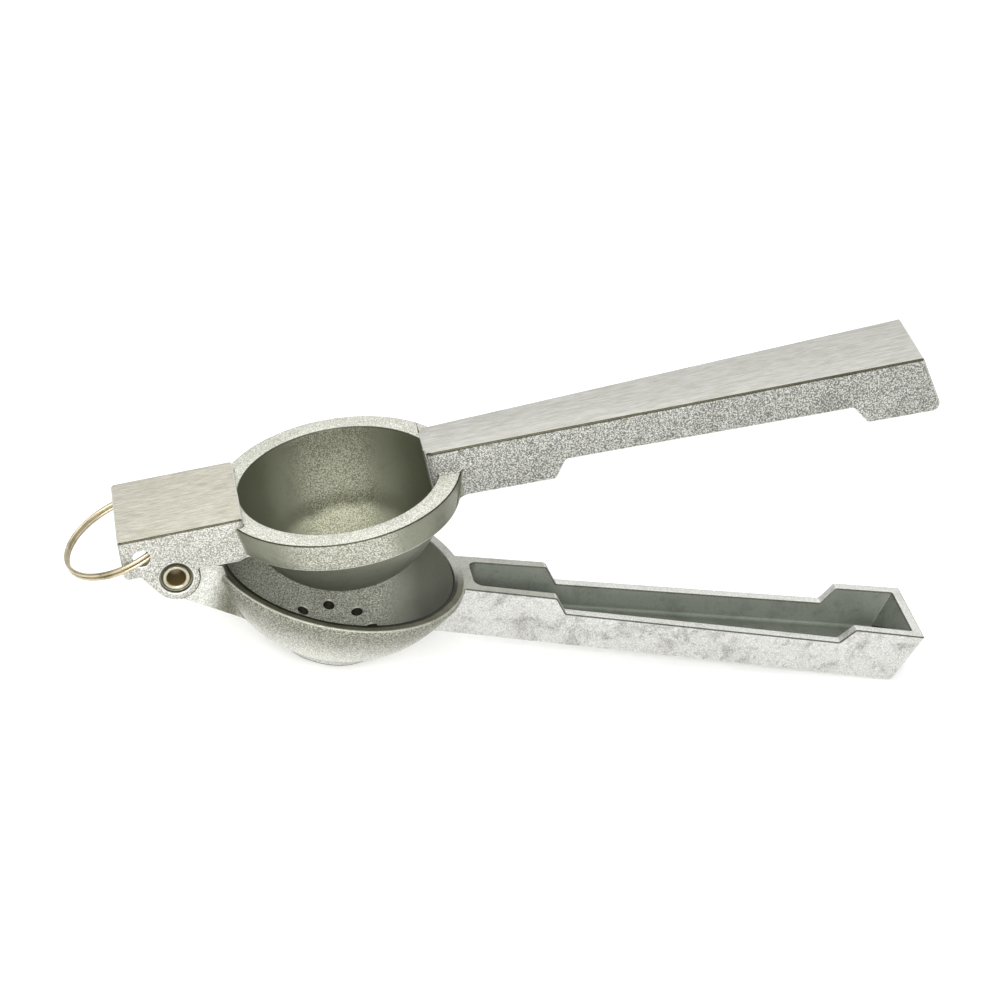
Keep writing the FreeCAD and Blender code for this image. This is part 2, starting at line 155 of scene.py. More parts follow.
def makeFloor():
    deselectAll()
    bpy.ops.mesh.primitive_plane_add(size=studio["floorSize"], location=(0, 0, -studio["floorDrop"]))
    floor = bpy.context.object
    floor.name = "studioFloor"
    paint, nodes, links = newMaterial("studioFloorPaint")
    shader = nodes["Principled BSDF"]
    shader.inputs["Base Color"].default_value = linear(studio["floorTone"])
    shader.inputs["Roughness"].default_value = studio["floorRoughness"]
    shader.inputs["Specular IOR Level"].default_value = 0.0
    # The sweep is burnt out to white for the camera and in the metal, and its shadow stays
    seen = anyRay(paint.node_tree, ("Is Camera Ray", "Is Glossy Ray", "Is Transmission Ray"))
    glow = addMath(paint.node_tree, "MULTIPLY", seen, studio["floorGlow"])
    shader.inputs["Emission Color"].default_value = (1, 1, 1, 1)
    links.new(glow, shader.inputs["Emission Strength"])
    floor.data.materials.append(paint)


def makeWorld():
    world = bpy.data.worlds.new("studioWorld")
    bpy.context.scene.world = world
    world.use_nodes = True
    tree = world.node_tree
    nodes = tree.nodes
    links = tree.links
    nodes.clear()
    # White walls with a darker flag on the left and on the right, as metal is photographed
    place = nodes.new("ShaderNodeTexCoord")
    split = nodes.new("ShaderNodeSeparateXYZ")
    links.new(place.outputs["Generated"], split.inputs[0])
    side = addMath(tree, "ABSOLUTE", split.outputs["X"], 0.0)
    walls = nodes.new("ShaderNodeMix")
    walls.data_type = "RGBA"
    walls.inputs[6].default_value = linear(studio["wallTone"])
    walls.inputs[7].default_value = linear(studio["flagTone"])
    links.new(addRange(tree, side, studio["flagFrom"], studio["flagTo"]), walls.inputs["Factor"])
    light = nodes.new("ShaderNodeBackground")
    light.inputs["Strength"].default_value = studio["wallLight"]
    links.new(walls.outputs[2], light.inputs["Color"])
    # The camera sees plain white behind the object
    backdrop = nodes.new("ShaderNodeBackground")
    backdrop.inputs["Color"].default_value = (1, 1, 1, 1)
    mix = nodes.new("ShaderNodeMixShader")
    out = nodes.new("ShaderNodeOutputWorld")
    links.new(anyRay(tree, ("Is Camera Ray", "Is Transmission Ray")), mix.inputs["Fac"])
    links.new(light.outputs["Background"], mix.inputs[1])
    links.new(backdrop.outputs["Background"], mix.inputs[2])
    links.new(mix.outputs["Shader"], out.inputs["Surface"])


def makeLamps():
    for lamp in studio["lamps"]:
        data = bpy.data.lights.new(lamp["name"], "AREA")
        data.shape = "SQUARE"
        data.size = lamp["size"]
        data.energy = lamp["power"]
        lampObject = bpy.data.objects.new(lamp["name"], data)
        bpy.context.scene.collection.objects.link(lampObject)
        lampObject.location = lamp["place"]
        aim = Vector(studio["aim"]) - Vector(lamp["place"])
        lampObject.rotation_euler = aim.to_track_quat("-Z", "Y").to_euler()


makeCamera()
makeFloor()
makeWorld()
makeLamps()
print("stage: camera and studio ready")


def newGroup(name, inputs, outputs):
    group = bpy.data.node_groups.new(name, "ShaderNodeTree")
    for label, kind in inputs:
        group.interface.new_socket(label, in_out="INPUT", socket_type=kind)
    for label, kind in outputs:
        group.interface.new_socket(label, in_out="OUTPUT", socket_type=kind)
    start = group.nodes.new("NodeGroupInput")
    end = group.nodes.new("NodeGroupOutput")
    return group, start, end


def addNoise(tree, vector, scale, detail, roughness, distortion=0.0):
    node = tree.nodes.new("ShaderNodeTexNoise")
    tree.links.new(vector, node.inputs["Vector"])
    node.inputs["Scale"].default_value = scale
    node.inputs["Detail"].default_value = detail
    node.inputs["Roughness"].default_value = roughness
    node.inputs["Distortion"].default_value = distortion
    return node.outputs[0]


def addScale(tree, vector, scale):
    # Scale is a factor from a socket, or three fixed factors
    node = tree.nodes.new("ShaderNodeVectorMath")
    tree.links.new(vector, node.inputs[0])
    if isinstance(scale, tuple):
        node.operation = "MULTIPLY"
        node.inputs[1].default_value = scale
    else:
        node.operation = "SCALE"
        tree.links.new(scale, node.inputs["Scale"])
    return node.outputs[0]


def addMix(tree, factor, first, second):
    node = tree.nodes.new("ShaderNodeMix")
    node.data_type = "RGBA"
    tree.links.new(factor, node.inputs["Factor"])
    tree.links.new(first, node.inputs[6])
    tree.links.new(second, node.inputs[7])
    return node.outputs[2]


# The cast skin: each noise is scale, detail, roughness and distortion, the rubble's and the pebbles'
# scale per grain and the others' per metre; each range says where a mask starts and where it is full
castSkin = {
    "rubble": (2.0, 4.0, 0.72, 0.0),
    "pebbleScale": 1.9,
    "pebbleSmoothness": 0.55,
    "pebbleDepth": 0.45,
    "pitRange": (0.52, 0.12),
    "cloud": (130.0, 5.0, 0.7, 0.5),
    "cloudRange": (0.47, 0.68),
    "cloudShare": 0.7,
    "speck": (620.0, 3.0, 0.7, 0.0),
    "speckRange": (0.54, 0.70),
    "speckShare": 0.5,
    "unevenness": 0.35,
}


def makeCastGrain():
    # Pebbled sand-cast skin: grain size in millimetres, pits darken its hollows, stain clouds it,
    # and worn takes the pebbles and the pits away
    skin = castSkin
    inputs = [("Vector", "NodeSocketVector"), ("Light", "NodeSocketColor"), ("Dark", "NodeSocketColor"),
              ("Grain size", "NodeSocketFloat"), ("Pits", "NodeSocketFloat"), ("Stain", "NodeSocketFloat"),
              ("Roughness", "NodeSocketFloat"), ("Worn", "NodeSocketFloat")]
    outputs = [("Color", "NodeSocketColor"), ("Roughness", "NodeSocketFloat"),
               ("Height", "NodeSocketFloat")]
    tree, start, end = newGroup("castGrain", inputs, outputs)
    perGrain = addMath(tree, "DIVIDE", 1 / mm, start.outputs["Grain size"])
    fine = addScale(tree, start.outputs["Vector"], perGrain)
    rubble = addNoise(tree, fine, *skin["rubble"])
    pebble = tree.nodes.new("ShaderNodeTexVoronoi")
    pebble.feature = "SMOOTH_F1"
    pebble.inputs["Scale"].default_value = skin["pebbleScale"]
    pebble.inputs["Smoothness"].default_value = skin["pebbleSmoothness"]
    tree.links.new(fine, pebble.inputs["Vector"])
    dimple = addMath(tree, "MULTIPLY", pebble.outputs["Distance"], skin["pebbleDepth"])
    height = addMath(tree, "SUBTRACT", rubble, dimple)
    rough = addMath(tree, "SUBTRACT", 1.0, start.outputs["Worn"])
    height = addMath(tree, "MULTIPLY", height, rough)
    pits = addRange(tree, height, *skin["pitRange"])
    pits = addMath(tree, "MULTIPLY", addMath(tree, "MULTIPLY", pits, rough), start.outputs["Pits"])
    cloud = addNoise(tree, start.outputs["Vector"], *skin["cloud"])
    cloud = addRange(tree, cloud, *skin["cloudRange"])
    speck = addNoise(tree, start.outputs["Vector"], *skin["speck"])
    speck = addRange(tree, speck, *skin["speckRange"])
    cloud = addMath(tree, "MULTIPLY", cloud, skin["cloudShare"])
    cloud = addMath(tree, "ADD", cloud, addMath(tree, "MULTIPLY", speck, skin["speckShare"]))
    stain = addMath(tree, "MULTIPLY", cloud, start.outputs["Stain"])
    shade = addMath(tree, "MINIMUM", addMath(tree, "ADD", pits, stain), 1.0)
    color = addMix(tree, shade, start.outputs["Light"], start.outputs["Dark"])
    uneven = addMath(tree, "MULTIPLY", addMath(tree, "SUBTRACT", rubble, 0.5), skin["unevenness"])
    tree.links.new(color, end.inputs["Color"])
    tree.links.new(addMath(tree, "ADD", start.outputs["Roughness"], uneven), end.inputs["Roughness"])
    tree.links.new(height, end.inputs["Height"])
    return tree


# The belt-ground skin: each noise is first stretched by three factors per stroke width
groundSkin = {
    "hairStretch": (0.055, 1.0, 0.2),
    "hair": (1.0, 3.0, 0.70, 0.15),
    "hairShare": 0.8,
    "bandStretch": (0.014, 0.20, 0.1),
    "band": (1.0, 3.0, 0.6, 0.5),
    "bandShare": 0.2,
    "strokeRange": (0.62, 0.38),
    "unevenness": 0.3,
}


def makeGroundGrain():
    # Belt-ground strokes along the vector's X: stroke width in millimetres
    skin = groundSkin
    inputs = [("Vector", "NodeSocketVector"), ("Light", "NodeSocketColor"), ("Dark", "NodeSocketColor"),
              ("Stroke width", "NodeSocketFloat"), ("Contrast", "NodeSocketFloat"),
              ("Roughness", "NodeSocketFloat")]
    outputs = [("Color", "NodeSocketColor"), ("Roughness", "NodeSocketFloat"),
               ("Height", "NodeSocketFloat")]
    tree, start, end = newGroup("groundGrain", inputs, outputs)
    perStroke = addMath(tree, "DIVIDE", 1 / mm, start.outputs["Stroke width"])
    fine = addScale(tree, start.outputs["Vector"], perStroke)
    hair = addNoise(tree, addScale(tree, fine, skin["hairStretch"]), *skin["hair"])
    band = addNoise(tree, addScale(tree, fine, skin["bandStretch"]), *skin["band"])
    both = addMath(tree, "MULTIPLY", hair, skin["hairShare"])
    both = addMath(tree, "ADD", both, addMath(tree, "MULTIPLY", band, skin["bandShare"]))
    shade = addRange(tree, both, *skin["strokeRange"])
    shade = addMath(tree, "MULTIPLY", shade, start.outputs["Contrast"])
    color = addMix(tree, shade, start.outputs["Light"], start.outputs["Dark"])
    uneven = addMath(tree, "MULTIPLY", addMath(tree, "SUBTRACT", hair, 0.5), skin["unevenness"])
    tree.links.new(color, end.inputs["Color"])
    tree.links.new(addMath(tree, "ADD", start.outputs["Roughness"], uneven), end.inputs["Roughness"])
    tree.links.new(hair, end.inputs["Height"])
    return tree


# The noise that lets a fade's edge wander, its scale per metre
fadeNoise = (90.0, 2.0, 0.5)


def makeToneFade():
    # 0 near a middle, 1 beyond it on both sides: place in metres, middle, start and end in millimetres
    inputs = [("Vector", "NodeSocketVector"), ("Place", "NodeSocketFloat"), ("Middle", "NodeSocketFloat"),
              ("Start", "NodeSocketFloat"), ("End", "NodeSocketFloat"), ("Wobble", "NodeSocketFloat")]
    tree, start, end = newGroup("toneFade", inputs, [("Mask", "NodeSocketFloat")])
    along = addMath(tree, "DIVIDE", start.outputs["Place"], mm)
    along = addMath(tree, "SUBTRACT", along, start.outputs["Middle"])
    away = addMath(tree, "ABSOLUTE", along, 0.0)
    drift = addMath(tree, "SUBTRACT", addNoise(tree, start.outputs["Vector"], *fadeNoise), 0.5)
    away = addMath(tree, "ADD", away, addMath(tree, "MULTIPLY", drift, start.outputs["Wobble"]))
    mask = addRange(tree, away, start.outputs["Start"], start.outputs["End"])
    tree.links.new(mask, end.inputs["Mask"])
    return tree


castGrain = makeCastGrain()
groundGrain = makeGroundGrain()
toneFade = makeToneFade()


def metal(name, finish, pitch=0.0):
    # A metal material from one of the finish dictionaries below, laid out along its arm
    paint, nodes, links = newMaterial(name)
    shader = nodes["Principled BSDF"]
    place = nodes.new("ShaderNodeTexCoord")
    turn = nodes.new("ShaderNodeMapping")
    turn.vector_type = "TEXTURE"
    turn.inputs["Location"].default_value = Vector(arms["pin"]) * mm
    turn.inputs["Rotation"].default_value = (0, math.radians(pitch), 0)
    grain = nodes.new("ShaderNodeGroup")
    grain.node_tree = groundGrain if "strokeWidth" in finish else castGrain
    links.new(place.outputs["Object"], turn.inputs["Vector"])
    links.new(turn.outputs["Vector"], grain.inputs["Vector"])
    grain.inputs["Light"].default_value = linear(finish["light"])
    grain.inputs["Dark"].default_value = linear(finish["dark"])
    grain.inputs["Roughness"].default_value = finish["roughness"]
    if "strokeWidth" in finish:
        grain.inputs["Stroke width"].default_value = finish["strokeWidth"]
        grain.inputs["Contrast"].default_value = finish["contrast"]
    else:
        grain.inputs["Grain size"].default_value = finish["grain"]
        grain.inputs["Pits"].default_value = finish["pits"]
        grain.inputs["Stain"].default_value = finish["stain"]
        grain.inputs["Worn"].default_value = 0.0
    # Each fade mixes its own light and dark tone over the ones before it
    tones = {}
    for spec in finish.get("fades", []):
        fade = nodes.new("ShaderNodeGroup")
        fade.node_tree = toneFade
        fade.inputs["Middle"].default_value = spec["middle"]
        fade.inputs["Start"].default_value = spec["start"]
        fade.inputs["End"].default_value = spec["end"]
        fade.inputs["Wobble"].default_value = spec["wobble"]
        links.new(turn.outputs["Vector"], fade.inputs["Vector"])
        if "hub" in spec:
            # Distance from the upright line through the bowl's or the cup's middle
            spoke = nodes.new("ShaderNodeVectorMath")
            spoke.operation = "MULTIPLY_ADD"
            spoke.inputs[1].default_value = (1, 1, 0)
            spoke.inputs[2].default_value = (-spec["hub"] * mm, 0, 0)
            radius = nodes.new("ShaderNodeVectorMath")
            radius.operation = "LENGTH"
            links.new(turn.outputs["Vector"], spoke.inputs[0])
            links.new(spoke.outputs[0], radius.inputs[0])
            links.new(radius.outputs["Value"], fade.inputs["Place"])
        else:
            along = nodes.new("ShaderNodeVectorMath")
            along.operation = "DOT_PRODUCT"
            along.inputs[1].default_value = spec["along"]
            links.new(turn.outputs["Vector"], along.inputs[0])
            links.new(along.outputs["Value"], fade.inputs["Place"])
        for label in ("light", "dark"):
            change = nodes.new("ShaderNodeMix")
            change.data_type = "RGBA"
            change.inputs[6].default_value = linear(finish[label])
            change.inputs[7].default_value = linear(spec[label])
            if label in tones:
                links.new(tones[label], change.inputs[6])
            links.new(fade.outputs["Mask"], change.inputs["Factor"])
            links.new(change.outputs[2], grain.inputs[label.capitalize()])
            tones[label] = change.outputs[2]
        if "worn" in spec:
            worn = addMath(paint.node_tree, "MULTIPLY", fade.outputs["Mask"], spec["worn"])
            links.new(worn, grain.inputs["Worn"])
    bump = nodes.new("ShaderNodeBump")
    bump.inputs["Strength"].default_value = 1.0
    bump.inputs["Distance"].default_value = finish["relief"] * mm
    links.new(grain.outputs["Height"], bump.inputs["Height"])
    links.new(bump.outputs["Normal"], shader.inputs["Normal"])
    links.new(grain.outputs["Color"], shader.inputs["Base Color"])
    links.new(grain.outputs["Roughness"], shader.inputs["Roughness"])
    shader.inputs["Metallic"].default_value = finish["metallic"]
    return paint


# Finishes of the castings, with painted light and shade: tones 0 to 255, grain, strokes and relief in
# millimetres. A fade turns the tones into its own away from a middle, along a direction of the arm or
# outwards from an upright hub line: start and end in millimetres, and worn, where it is given, smooths
# the grain there. Most fades paint shade, light or reflection into the colour, as marked at each
castFinishesAndShading = {
    "bowlSide": {"light": (220, 220, 217), "dark": (146, 145, 138), "roughness": 0.55, "metallic": 0.7,
                 "grain": 0.8, "pits": 0.55, "stain": 0.6, "relief": 0.04},
    # The tongue's sides are painted darker in a band round the line where they meet the bowl: painted shade
    # of that hollow corner
    "tongueSide": {"light": (140, 140, 127), "dark": (92, 92, 78), "roughness": 0.55, "metallic": 0.7,
                   "grain": 0.7, "pits": 1.0, "stain": 0.3, "relief": 0.05,
                   "fades": [{"along": (1, 0, 0), "middle": 17.0, "start": 0.5, "end": 7.5,
                              "wobble": 2.0, "light": (238, 238, 233), "dark": (178, 178, 169)}]},
    # The handle's sides are painted darker where the handle meets the bowl, lighter beyond: painted shade
    # of that hollow corner
    "handleRoot": {"light": (160, 160, 147), "dark": (104, 104, 90), "roughness": 0.55, "metallic": 0.7,
                   "grain": 0.8, "pits": 0.55, "stain": 0.6, "relief": 0.04,
                   "fades": [{"along": (1, 0, 0), "middle": 82.0, "start": 2.0, "end": 8.0,
                              "wobble": 2.0, "light": (220, 220, 217), "dark": (146, 145, 138)}]},
    # The bowl's outside is painted darker near the lip and lighter lower down: painted shade under the
    # upper arm, and a painted reflection of the pale floor below
    "bowlShell": {"light": (178, 178, 167), "dark": (104, 104, 90), "roughness": 0.50, "metallic": 0.8,
                  "grain": 0.9, "pits": 1.0, "stain": 0.2, "relief": 0.08,
                  "fades": [{"along": (0, 0, 1), "middle": 0.0, "start": 2.0, "end": 18.0, "wobble": 3.0,
                             "light": (250, 250, 246), "dark": (182, 182, 172)}]},
    "pressSide": {"light": (72, 70, 56), "dark": (40, 39, 30), "roughness": 0.55, "metallic": 0.7,
                  "grain": 0.8, "pits": 1.0, "stain": 0.2, "relief": 0.08,
                  "fades": [{"along": (-0.02791, 0, 1), "middle": 16.826, "start": 0.45, "end": 0.85,
                             "wobble": 0.5, "light": (202, 202, 196), "dark": (100, 101, 94)}]},
    "noseSide": {"light": (80, 78, 62), "dark": (48, 46, 36), "roughness": 0.55, "metallic": 0.7,
                 "grain": 0.8, "pits": 1.0, "stain": 0.2, "relief": 0.08,
                 "fades": [{"along": (-0.014, 0, 1), "middle": 14.1, "start": 0.40, "end": 0.75,
                            "wobble": 0.5, "light": (220, 219, 214), "dark": (140, 139, 129)}]},
    # The bowl's inside is painted darker, with its grain smoothed, towards the handle end: a painted dark
    # reflection
    "bowlInside": {"light": (240, 241, 228), "dark": (138, 139, 124), "roughness": 0.60, "metallic": 0.25,
                   "grain": 0.8, "pits": 1.0, "stain": 0.2, "relief": 0.10,
                   "fades": [{"along": (1, 0, 0), "middle": 26.0, "start": 38.0, "end": 50.0,
                              "wobble": 3.0, "worn": 0.8, "light": (122, 124, 112), "dark": (92, 93, 81)}]},
    # On the near side the lip land is painted with a dark line at its inner edge and a darker land, with a
    # lighter strip towards its outer edge; the far side is painted light. The dark line, the darker land
    # and the light far side are painted shade and reflection
    "bowlLip": {"light": (60, 58, 44), "dark": (34, 33, 25), "roughness": 0.45, "metallic": 0.8,
                "grain": 0.6, "pits": 0.6, "stain": 0.4, "relief": 0.03,
                "fades": [{"hub": 48.2, "middle": 33.8, "start": 0.9, "end": 1.5, "wobble": 0.8,
                           "light": (132, 131, 111), "dark": (88, 87, 70)},
                          {"hub": 48.2, "middle": 33.8, "start": 2.7, "end": 3.1, "wobble": 0.5,
                           "light": (208, 208, 197), "dark": (160, 160, 147)},
                          {"along": (0, 1, 0), "middle": -40.0, "start": 30.0, "end": 46.0,
                           "wobble": 4.0, "light": (208, 208, 199), "dark": (152, 152, 140)}]},
    "castRim": {"light": (244, 244, 240), "dark": (190, 190, 180), "roughness": 0.66, "metallic": 0.5,
                "grain": 0.7, "pits": 0.7, "stain": 0.3, "relief": 0.04},
    "channelInside": {"light": (136, 141, 131), "dark": (98, 103, 92), "roughness": 0.55, "metallic": 0.6,
                      "grain": 0.7, "pits": 0.3, "stain": 0.5, "relief": 0.02},
    # The cup's inside is painted in bands over the casting's olive tone: a light floor, a dark band above
    # it, a lighter wall, and dark, smoothed walls at left and right. The bands and dark walls are painted
    # shade and reflection
    "cupInside": {"light": (212, 212, 189), "dark": (138, 138, 115), "roughness": 0.65, "metallic": 0.5,
                  "grain": 0.75, "pits": 1.0, "stain": 0.2, "relief": 0.06,
                  "fades": [{"along": (0, 0, 1), "middle": -16.2, "start": 6.0, "end": 8.5,
                             "wobble": 3.0, "light": (140, 140, 120), "dark": (80, 80, 64)},
                            {"along": (0, 0, 1), "middle": -16.2, "start": 9.0, "end": 12.0,
                             "wobble": 2.0, "light": (164, 165, 146), "dark": (98, 99, 82)},
                            {"along": (1, 0, 0), "middle": 49.7, "start": 6.0, "end": 23.0,
                             "wobble": 4.0, "worn": 0.95, "light": (92, 95, 76), "dark": (78, 80, 62)}]},
    "rimLand": {"light": (240, 240, 231), "dark": (176, 176, 163), "roughness": 0.68, "metallic": 0.5,
                "grain": 0.7, "pits": 1.0, "stain": 0.2, "relief": 0.05},
    # The band round the cup is painted darker at its left and right and lighter in the middle: painted
    # shade and reflection where it turns away
    "band": {"light": (214, 214, 202), "dark": (128, 128, 114), "roughness": 0.45, "metallic": 0.8,
             "grain": 0.8, "pits": 1.0, "stain": 0.2, "relief": 0.05,
             "fades": [{"along": (1, 0, 0), "middle": 47.0, "start": 10.0, "end": 20.0, "wobble": 4.0,
                        "worn": 0.4, "light": (158, 160, 143), "dark": (98, 100, 85)}]},
    # The dome under the cup is given a darker tone than the rest of the casting: painted shade and a
    # painted reflection of the bowl's inside
    "dome": {"light": (128, 130, 117), "dark": (94, 96, 83), "roughness": 0.45, "metallic": 0.6,
             "grain": 0.7, "pits": 0.3, "stain": 0.4, "relief": 0.02},
    # The inside of the nose's hollow is painted dark: painted shade
    "hollowInside": {"light": (110, 110, 98), "dark": (62, 63, 54), "roughness": 0.55, "metallic": 0.6,
                     "grain": 0.8, "pits": 0.5, "stain": 0.5, "relief": 0.04},
    "noseTop": {"light": (218, 215, 202), "dark": (178, 173, 155), "roughness": 0.42, "metallic": 0.8,
                "strokeWidth": 0.26, "contrast": 1.0, "relief": 0.008},
    "handleTop": {"light": (210, 209, 203), "dark": (180, 178, 167), "roughness": 0.42, "metallic": 0.8,
                  "strokeWidth": 0.26, "contrast": 1.0, "relief": 0.008},
    "groundEdge": {"light": (92, 90, 72), "dark": (54, 52, 40), "roughness": 0.45, "metallic": 0.9,
                   "grain": 0.6, "pits": 0.6, "stain": 0.5, "relief": 0.02},
    # The cup mouth's rounded inner edge is light on the near side and painted dark on the far side: painted
    # shade
    "mouthEdge": {"light": (196, 196, 182), "dark": (150, 150, 134), "roughness": 0.50, "metallic": 0.8,
                  "grain": 0.6, "pits": 0.4, "stain": 0.4, "relief": 0.02,
                  "fades": [{"along": (0, 1, 0), "middle": -30.0, "start": 22.0, "end": 34.0,
                             "wobble": 2.0, "light": (96, 97, 80), "dark": (62, 63, 50)}]},
    # The counterbore floor round the rivet is painted dark: a painted shadow in the gap between flange and
    # counterbore wall
    "seatFloor": {"light": (92, 90, 70), "dark": (54, 52, 40), "roughness": 0.55, "metallic": 0.7,
                  "grain": 0.6, "pits": 0.6, "stain": 0.4, "relief": 0.02},
    # The bowl mouth's rounded inner edge is painted as a dark line on the near side and lighter on the far
    # side: painted shade
    "lipLine": {"light": (50, 48, 36), "dark": (28, 27, 20), "roughness": 0.55, "metallic": 0.8,
                "grain": 0.6, "pits": 0.5, "stain": 0.5, "relief": 0.02,
                "fades": [{"along": (0, 1, 0), "middle": -40.0, "start": 38.0, "end": 52.0,
                           "wobble": 4.0, "light": (160, 160, 146), "dark": (110, 110, 96)}]},
    "lipOuter": {"light": (204, 204, 193), "dark": (150, 150, 137), "roughness": 0.65, "metallic": 0.6,
                 "grain": 0.6, "pits": 0.7, "stain": 0.4, "relief": 0.02},
    "channelEdge": {"light": (112, 114, 104), "dark": (66, 68, 58), "roughness": 0.55, "metallic": 0.7,
                    "grain": 0.6, "pits": 0.6, "stain": 0.5, "relief": 0.02},
    "castEdge": {"light": (224, 224, 217), "dark": (184, 184, 173), "roughness": 0.50, "metallic": 0.7,
                 "grain": 0.6, "pits": 0.6, "stain": 0.3, "relief": 0.02},
    # Rounded strips in hollow corners are painted darker: painted shade
    "crevice": {"light": (150, 150, 136), "dark": (104, 104, 90), "roughness": 0.55, "metallic": 0.7,
                "grain": 0.6, "pits": 0.6, "stain": 0.4, "relief": 0.03},
    # The walls of the drain holes are painted dark: painted shade in the holes
    "drainWall": {"light": (92, 92, 76), "dark": (44, 44, 34), "roughness": 0.55, "metallic": 0.7,
                  "grain": 0.6, "pits": 0.6, "stain": 0.4, "relief": 0.03},
}

# How the copied castings get their rounded edges: widths in millimetres, angles in degrees
edgeWork = {
    "merge": 0.002,
    "flatWithin": 0.4,
    "width": 0.35,
    "segments": 3,
    "sharpFrom": 28.0,
    "smoothBelow": 30.0,
    "samplePitch": 0.4,
}


def sharpEdgeSamples(piece):
    # Points along the sharp edges, to tell later which rounded strip was a hollow corner
    shape = bmesh.new()
    shape.from_mesh(piece.data)
    samples = []
    for edge in shape.edges:
        if len(edge.link_faces) != 2 or edge.calc_face_angle() < math.radians(edgeWork["sharpFrom"]):
            continue
        count = max(1, int(edge.calc_length() / (edgeWork["samplePitch"] * mm)))
        first, last = (vertex.co for vertex in edge.verts)
        for step in range(count + 1):
            samples.append((first.lerp(last, step / count), edge.is_convex))
    shape.free()
    tree = KDTree(len(samples))
    for index, (point, convex) in enumerate(samples):
        tree.insert(point, index)
    tree.balance()
    return tree, [convex for point, convex in samples]


def castCopy(nodeName, pieceName, pitch, flatFinish, edgeFinish):
    # The casting's own copy, with its edges rounded and a finish for every face
    piece = bpy.data.objects.new(pieceName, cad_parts[nodeName].data.copy())
    bpy.context.scene.collection.objects.link(piece)
    pick(piece)
    bpy.ops.object.mode_set(mode="EDIT")
    bpy.ops.mesh.select_all(action="SELECT")
    bpy.ops.mesh.remove_doubles(threshold=edgeWork["merge"] * mm)
    bpy.ops.mesh.dissolve_limited(angle_limit=math.radians(edgeWork["flatWithin"]))
    bpy.ops.object.mode_set(mode="OBJECT")
    piece.data.materials.clear()
    # Slot 0 holds the casting's own faces, slot 1 the strips that the bevel adds
    strip = 1
    piece.data.materials.append(None)
    piece.data.materials.append(None)
    for face in piece.data.polygons:
        face.material_index = 0
    tree, convexFlags = sharpEdgeSamples(piece)
    bevel = piece.modifiers.new("edgeRound", "BEVEL")
    bevel.limit_method = "ANGLE"
    bevel.angle_limit = math.radians(edgeWork["sharpFrom"])
    bevel.width = edgeWork["width"] * mm
    bevel.segments = edgeWork["segments"]
    bevel.use_clamp_overlap = False
    bevel.miter_outer = "MITER_ARC"
    bevel.material = strip
    bpy.ops.object.modifier_apply(modifier="edgeRound")
    toArm = armMatrix(pitch).inverted()
    turnBack = Matrix.Rotation(-math.radians(pitch), 3, "Y")
    chosen = []
    for face in piece.data.polygons:
        centre = toArm @ face.center
        normal = turnBack @ face.normal
        if face.material_index == strip:
            # A strip in a hollow corner gets the painted crevice shade
            index = tree.find(face.center)[1]
            finishName = edgeFinish(centre, normal) if convexFlags[index] else "crevice"
        else:
            finishName = flatFinish(centre, normal)
        chosen.append(finishName)
    used = sorted(set(chosen))
    piece.data.materials.clear()
    for name in used:
        piece.data.materials.append(metal(pieceName + "_" + name, castFinishesAndShading[name], pitch))
    for face, name in zip(piece.data.polygons, chosen):
        face.material_index = used.index(name)
    bpy.ops.object.shade_smooth_by_angle(angle=math.radians(edgeWork["smoothBelow"]))
    print("stage:", pieceName, "has", len(piece.data.polygons), "faces and", len(used), "finishes")
    return piece


def fromUpright(point, x):
    # Distance from an upright line that stands at this X in the arm's middle plane
    return math.hypot(point.x - x, point.y)


def onCorner(spec, point, normal, end):
    # The upright corners at the far end of a handle
    slanted = abs(normal.x) > spec["cornerShare"] and abs(normal.y) > spec["cornerShare"]
    return slanted and point.x > end - spec["endReach"]


# The bowl arm in its own millimetres; a normal's share is 1 when it points straight that way
bowlCasting = {
    "axisX": 48.2,
    "ballRadius": 36.0,
    "ballZ": 12.4,
    "mouthRadius": 33.8,
    "lipRadius": 37.2,
    "drainX": 50.6,
    "drainCircle": 11.3,
    "drainRadius": 1.65,
    "pocketStart": 88.0,
    "pocketEnd": 221.9,
    "pocketFloor": -12.3,
    "pocketHalfStart": 6.4,
    "pocketHalfEnd": 10.9,
    "notchFloor": -5.2,
    "shellRadius": 42.0,
    "lipWallFoot": -5.0,
    "footX": 49.6,
    "footRadius": 14.5,
    "footZ": -24.5,
    "topEdgeFrom": -6.0,
    "rootStart": 86.0,
    "tongueEnd": 30.0,
    "rootEnd": 96.0,
    "mouthDepth": -1.0,
    "endReach": 8.0,
    "endShare": 0.01,
    "flatShare": 0.9,
    "domeShare": 0.93,
    "drainWallShare": 0.4,
    "lipWallShare": 0.3,
    "cornerShare": 0.3,
    "footMargin": 2.0,
    "footEdge": 1.0,
    "slack": 0.35,
    "edgeSlack": 0.7,
    "lipEdgeSlack": 1.05,
}


